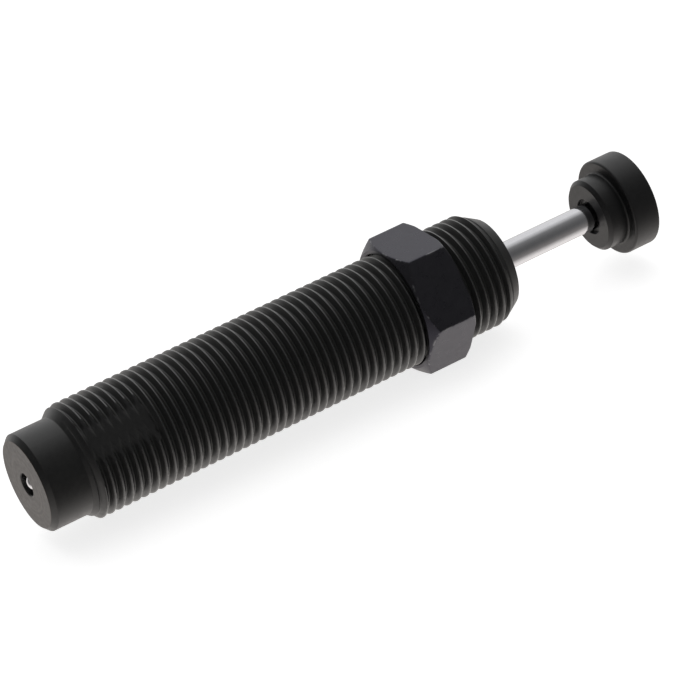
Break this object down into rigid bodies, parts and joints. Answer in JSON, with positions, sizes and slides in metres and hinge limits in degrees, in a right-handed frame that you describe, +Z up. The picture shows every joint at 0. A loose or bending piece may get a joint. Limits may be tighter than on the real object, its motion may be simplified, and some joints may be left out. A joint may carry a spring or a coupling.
{
  "type": "industrial shock absorber",
  "caption": "Self-compensating miniature shock absorber: fully threaded black body, hexagonal lock nut, sprung chromed rod with a black impact cap, hydraulic parts inside.",
  "frame": {"origin": "on the axis, in the plane of the lock nut's front face, which clamps against the bracket", "axes": "+X along the rod from the body towards the impact cap, +Z up; one flat of the lock nut faces down, turned 3 degrees about the axis"},
  "size_m": [0.1487, 0.0312, 0.0278],
  "materials": {
    "black_oxide_steel": "black oxide on turned steel, thin crest wear",
    "polished_steel": "polished bearing steel",
    "blackened_steel": "blackened steel, smooth flats, bright corners",
    "ground_steel": "ground steel",
    "turned_steel": "turned steel",
    "spring_wire": "drawn spring wire",
    "hard_chrome": "hard chromed and polished",
    "bronze": "turned bronze",
    "dark_bronze": "lapped bronze",
    "stop_polymer": "moulded polymer",
    "cell_foam": "closed-cell foam",
    "seal_rubber": "nitrile rubber",
    "pale_polymer": "machined polymer",
    "black_rubber": "nitrile rubber",
    "spring_steel_black": "phosphated spring steel",
    "cap_polymer": "satin black polymer"
  },
  "bodies": {
    "housing": {"threaded_body": "black_oxide_steel", "filler_ball": "polished_steel", "pressure_tube": "ground_steel", "tube_base": "turned_steel", "return_spring": "spring_wire", "rebound_stop": "stop_polymer", "rod_guide": "bronze", "accumulator_foam": "cell_foam", "foam_screen": "turned_steel", "rod_seal": "seal_rubber", "backup_ring": "pale_polymer", "front_gland": "turned_steel", "gland_oring": "black_rubber", "rod_wiper": "black_rubber", "retaining_ring": "spring_steel_black"},
    "spring_carriage": {"spring_seat": "turned_steel"},
    "rod": {"piston_rod": "hard_chrome", "piston_head": "bronze", "piston_nut": "turned_steel", "impact_cap": "cap_polymer", "cap_clip": "spring_wire"},
    "check_ring": {"check_ring": "dark_bronze"},
    "lock_nut": {"lock_nut": "blackened_steel"}
  },
  "joints": [
    {"name": "rod_slide", "type": "slide", "parent": "housing", "child": "spring_carriage", "axis": [-1, 0, 0], "range_m": [0, 0.025], "stiffness_N_per_m": 975, "springref_m": -0.012, "deforming": ["return_spring"]},
    {"name": "rod_spin", "type": "hinge", "parent": "spring_carriage", "child": "rod", "pos_m": [0, 0, 0], "axis": [1, 0, 0], "continuous": true},
    {"name": "check_ring_float", "type": "slide", "parent": "rod", "child": "check_ring", "axis": [-1, 0, 0], "range_m": [0, 0.0008]},
    {"name": "nut_travel", "type": "slide", "parent": "housing", "child": "lock_nut", "axis": [1, 0, 0], "range_m": [-0.0764, 0.0096]}
  ]
}
